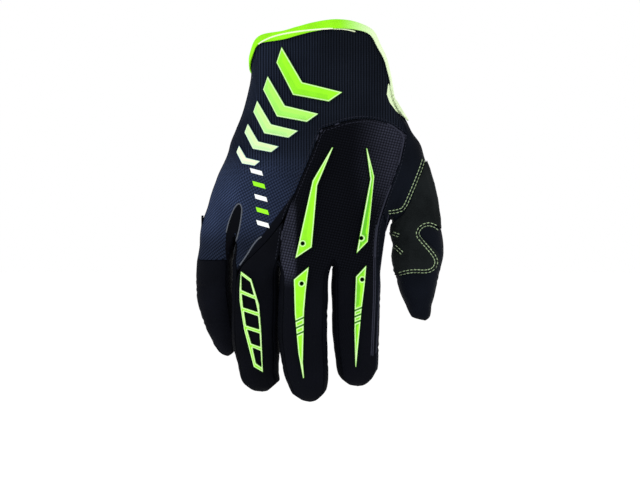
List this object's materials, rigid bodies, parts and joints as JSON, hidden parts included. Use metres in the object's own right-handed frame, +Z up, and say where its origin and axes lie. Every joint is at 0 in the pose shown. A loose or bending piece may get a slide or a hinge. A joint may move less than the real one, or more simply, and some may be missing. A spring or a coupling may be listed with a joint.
{
  "type": "full finger glove",
  "caption": "Right-hand full finger riding glove, filled out, with a bound cuff, mesh back, leather palm and raised rubber blades.",
  "frame": {"origin": "centre of the wrist opening, level with the sides of the cuff's rim", "axes": "+Z up out of the wrist opening, away from the fingers, -Y towards the back of the hand, +X towards the thumb"},
  "size_m": [0.1555, 0.0558, 0.2392],
  "materials": {
    "navy_mesh": "knitted mesh with fine ribs",
    "charcoal_mesh": "fine knitted mesh",
    "black_stretch": "smooth stretch cloth",
    "navy_stretch": "smooth stretch cloth",
    "black_leather": "suede-like synthetic leather",
    "green_rubber": "semi-gloss moulded rubber",
    "pale_rubber": "semi-gloss moulded rubber",
    "green_binding": "folded tape"
  },
  "bodies": {
    "root": {"back_panel": "navy_mesh", "knuckle_panel": "charcoal_mesh", "ring_finger_back": "black_stretch", "little_finger_back": "black_stretch", "thumb_back": "navy_stretch", "palm_panel": "black_leather", "fourchette_little_ring": "black_stretch", "fourchette_ring_middle": "black_stretch", "fourchette_middle_index": "black_stretch", "index_side": "navy_stretch", "cuff_binding": "green_binding", "middle_upper_blade": "green_rubber", "index_upper_blade": "green_rubber", "middle_lower_blade": "green_rubber", "index_lower_blade": "green_rubber", "cuff_chevron_1": "green_rubber", "cuff_chevron_2": "green_rubber", "cuff_chevron_3": "green_rubber", "cuff_chevron_4": "pale_rubber", "cuff_chevron_5": "pale_rubber", "ring_finger_ladder": "green_rubber", "side_tab": "black_stretch", "thumb_leather": "black_leather"}
  },
  "joints": []
}
